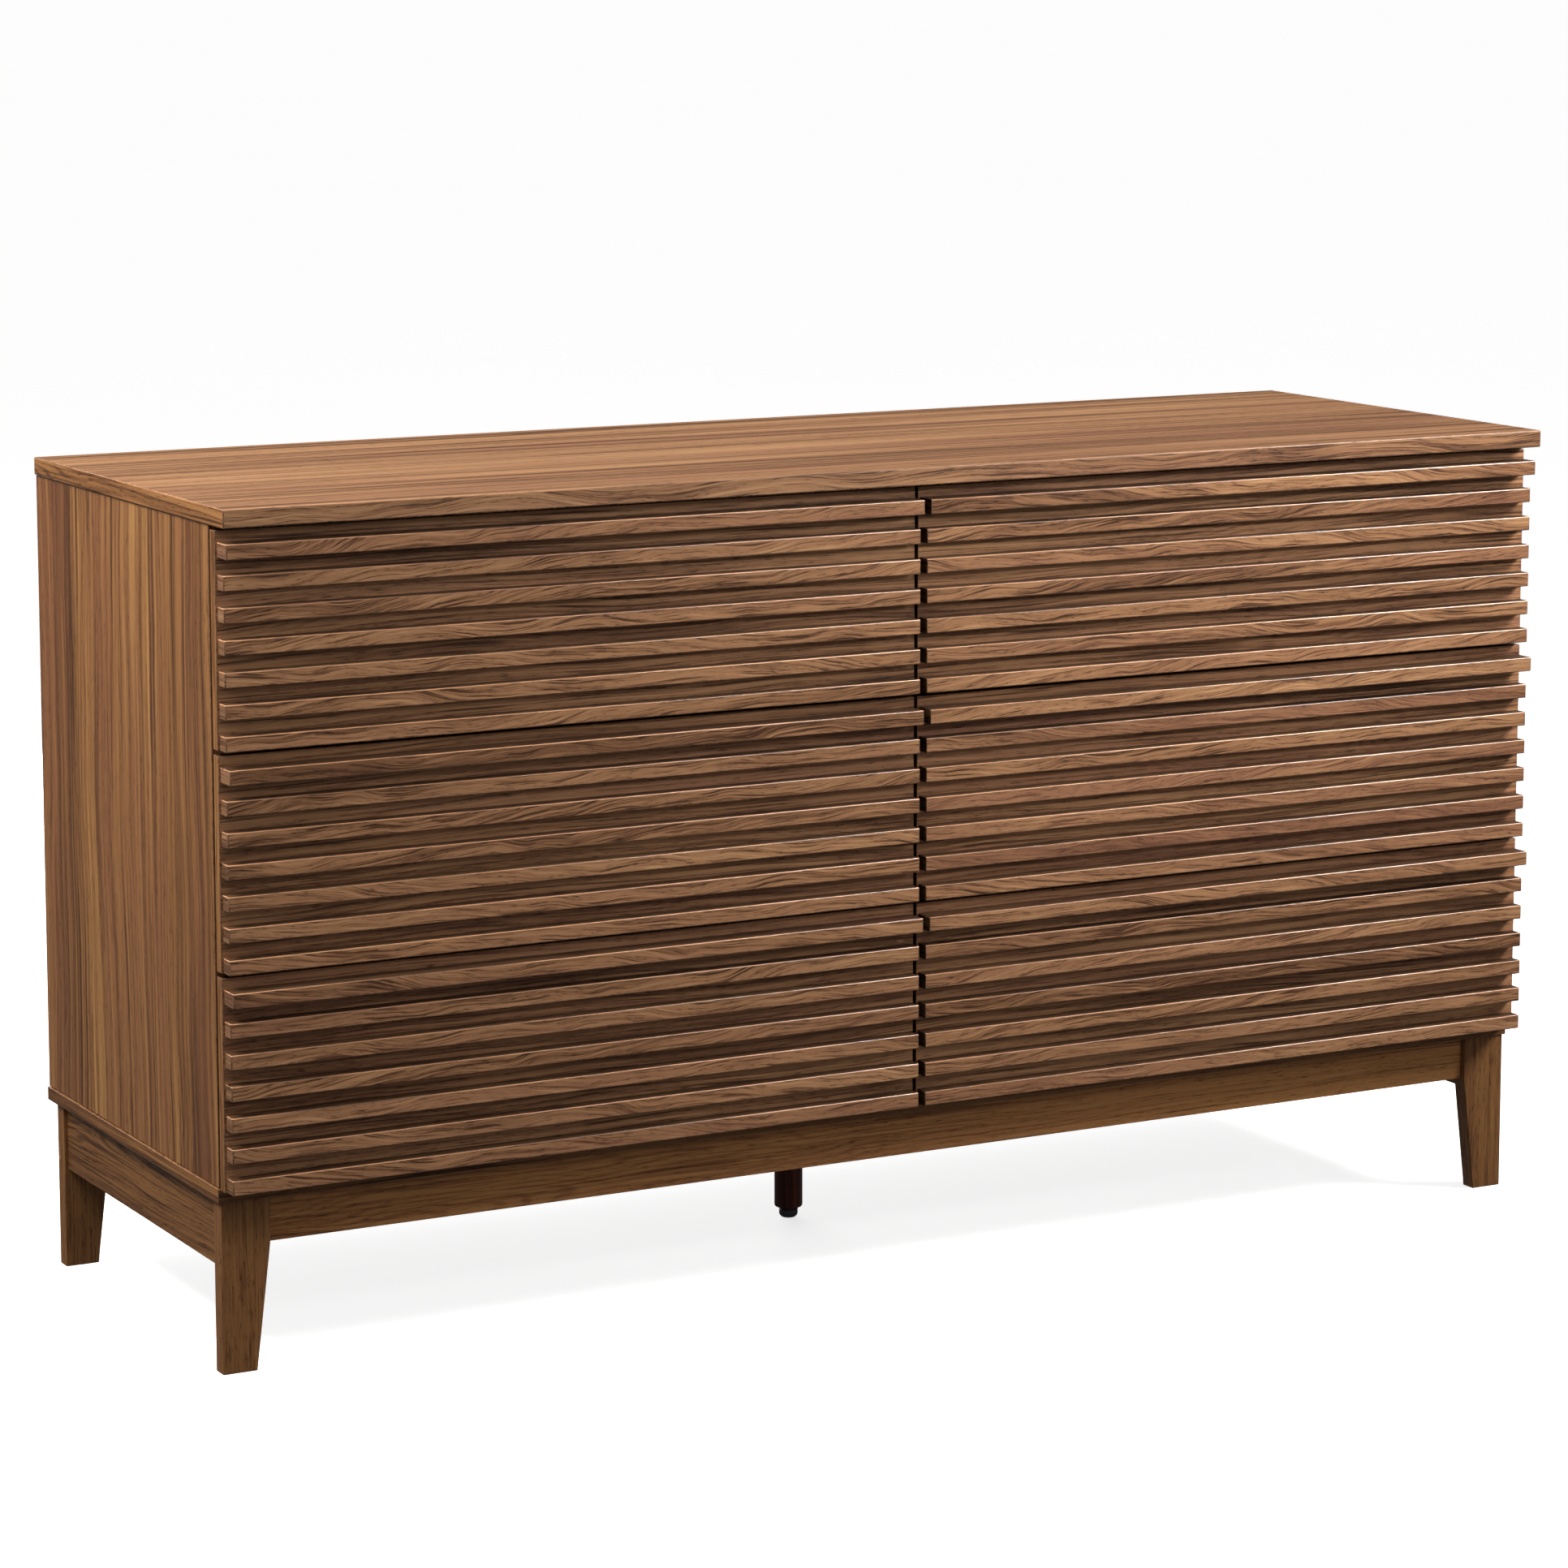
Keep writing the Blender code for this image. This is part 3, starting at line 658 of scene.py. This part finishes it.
def build_slide_fixings(drawer, hand, away):
    """Screws of a slide's two channels and the release lever on its runner."""
    side = "{}_{}_".format(drawer, hand)
    low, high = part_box(side + "runner")
    face = (high.x if away < 0 else low.x) + away * SLIDE_WEB
    middle = (low.z + high.z) / 2
    screws(side + "runner_screws",
           [(face, low.y + offset, middle) for offset in (0.035, 0.19, 0.345)],
           (away, 0, 0), drawer)
    tip = face + away * 0.0022
    tools = bmesh.new()
    add_box(tools, (min(face, tip), low.y + 0.070, middle - 0.004),
            (max(face, tip), low.y + 0.112, middle + 0.004))
    soften(tools, 0.0007, 0, 0)
    finished(side + "release_lever", tools, ("black",), drawer)
    low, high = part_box(side + "rail")
    face = (low.x if away < 0 else high.x) - away * SLIDE_WEB
    screws(side + "rail_screws",
           [(face, low.y + offset, middle) for offset in (0.050, 0.21, 0.37)],
           (-away, 0, 0), "cabinet")


def build_fixings(drawer, column_side):
    """Screws and release levers of the slides, cam-lock covers and rubber bumpers."""
    for hand, away in COLUMNS:
        build_slide_fixings(drawer, hand, away)
    low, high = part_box(drawer + "_box")
    for hand, face, inward in (("left", low.x + BOX_WALL, 1), ("right", high.x - BOX_WALL, -1)):
        discs("{}_{}_lock_covers".format(drawer, hand),
              [(face, low.y + 0.034, z) for z in (low.z + 0.045, high.z - 0.035)],
              (inward, 0, 0), 0.0075, 0.0006, "cover", drawer)
    low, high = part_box(drawer + "_front")
    outer, inner = column_side * 0.7405, column_side * 0.0052
    discs(drawer + "_bumpers", [(x, high.y, high.z - 0.014) for x in (outer, inner)],
          (0, 1, 0), 0.0030, 0.0034, "clear", drawer)


def build_drawer(row, column, side):
    drawer = "{}_{}_drawer".format(row, column)
    build_front(drawer)
    build_box(drawer)
    for name in ("left_runner", "right_runner", "left_rail", "right_rail"):
        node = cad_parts["{}_{}".format(drawer, name)]
        for place in node.material_slots:
            place.material = M["zinc"]
    build_fixings(drawer, side)


build_cabinet()
for row in ROWS:
    for column, side in COLUMNS:
        build_drawer(row, column, side)


# ---------------------------------------------------------------- floor, light and camera
def build_floor():
    """A wide pale floor that neither tints the object nor shows in its reflections."""
    tools = bmesh.new()
    bmesh.ops.create_grid(tools, x_segments=1, y_segments=1, size=400.0)
    mesh = bpy.data.meshes.new("floor")
    tools.to_mesh(mesh)
    tools.free()
    net = Net("floor")
    cloud = net.noise(net.vector("MULTIPLY", net.place(), (0.6,) * 3), 2.0)
    colour = net.mix(net.spread(cloud, 0.3, 0.7), (0.90, 0.90, 0.90), (0.92, 0.92, 0.92))
    mesh.materials.append(net.finish(colour, 0.9))
    net.shader.inputs["Emission Color"].default_value = (1.0, 1.0, 1.0, 1.0)
    net.shader.inputs["Emission Strength"].default_value = 0.74
    floor = bpy.data.objects.new("floor", mesh)
    bpy.context.scene.collection.objects.link(floor)
    floor.visible_diffuse = False
    floor.visible_glossy = False


# name: place, point it faces, width, height, watts, and spread in degrees
SOFTBOXES = {
    "left_softbox": ((-1.9, -0.1, 2.3), (-0.7, 0.0, 0.7), 1.0, 1.0, 77.0, 180.0),
    "right_softbox": ((2.3, -1.3, 2.15), (0.3, -0.2, 0.95), 0.9, 0.9, 42.0, 110.0),
    "front_softbox": ((1.5, -2.6, 1.7), (0.3, -0.25, 1.15), 0.8, 0.4, 3.0, 45.0),
    "top_softbox": ((-0.6, 0.5, 2.8), (-0.2, 0.0, 0.83), 2.4, 1.4, 26.0, 180.0),
    "back_softbox": ((0.6, 3.2, 0.42), (0.1, 0.25, 0.42), 2.6, 0.7, 60.0, 180.0),
}


def add_softbox(name, place, aim, width, height, power, spread):
    """A rectangular soft light that faces a point. A grid over it can narrow its spread."""
    light = bpy.data.lights.new(name, "AREA")
    light.shape = "RECTANGLE"
    light.size, light.size_y = width, height
    light.energy = power
    light.spread = radians(spread)
    obj = bpy.data.objects.new(name, light)
    bpy.context.scene.collection.objects.link(obj)
    obj.location = place
    toward = Vector(place) - Vector(aim)
    obj.rotation_mode = "QUATERNION"
    obj.rotation_quaternion = toward.to_track_quat("Z", "Y")


def build_world():
    """A grey room that is brightest just above the horizon, and that the camera sees as white."""
    world = bpy.data.worlds.new("studio")
    world.use_nodes = True
    tree = world.node_tree
    shade = tree.nodes["Background"]
    split = tree.nodes.new("ShaderNodeSeparateXYZ")
    tree.links.new(tree.nodes.new("ShaderNodeTexCoord").outputs["Generated"], split.inputs[0])
    height = tree.nodes.new("ShaderNodeMapRange")
    height.inputs[1].default_value = -1.0
    tree.links.new(split.outputs[2], height.inputs[0])
    ramp = tree.nodes.new("ShaderNodeValToRGB")
    tree.links.new(height.outputs[0], ramp.inputs[0])
    elements = ramp.color_ramp.elements
    while len(elements) < len(SKY):
        elements.new(0.5)
    for element, (place, grey) in zip(elements, SKY):
        element.position = place
        element.color = (grey, grey, grey, 1.0)
    tree.links.new(ramp.outputs[0], shade.inputs["Color"])
    seen = tree.nodes.new("ShaderNodeBackground")
    seen.inputs["Color"].default_value = (1.0, 1.0, 1.0, 1.0)
    rays = tree.nodes.new("ShaderNodeLightPath")
    mixed = tree.nodes.new("ShaderNodeMixShader")
    tree.links.new(rays.outputs["Is Camera Ray"], mixed.inputs[0])
    tree.links.new(shade.outputs[0], mixed.inputs[1])
    tree.links.new(seen.outputs[0], mixed.inputs[2])
    tree.links.new(mixed.outputs[0], tree.nodes["World Output"].inputs["Surface"])
    bpy.context.scene.world = world


def build_light():
    build_world()
    for name, settings in SOFTBOXES.items():
        add_softbox(name, *settings)
    bpy.context.scene.view_settings.view_transform = "Standard"
    bpy.context.scene.view_settings.look = "None"


def build_camera():
    """The main view, from the front left and above, with a long lens."""
    lens = bpy.data.cameras.new("camera")
    lens.lens = 111.73
    lens.sensor_width = 36.0
    lens.shift_y = -0.10
    lens.clip_end = 1000.0
    camera = bpy.data.objects.new("camera", lens)
    bpy.context.scene.collection.objects.link(camera)
    camera.location = (-2.4012, -4.4067, 1.3663)
    camera.rotation_euler = (radians(90.0 - 8.231), 0.0, radians(-28.316))
    bpy.context.scene.camera = camera


build_floor()
build_light()
build_camera()

bpy.context.view_layer.update()
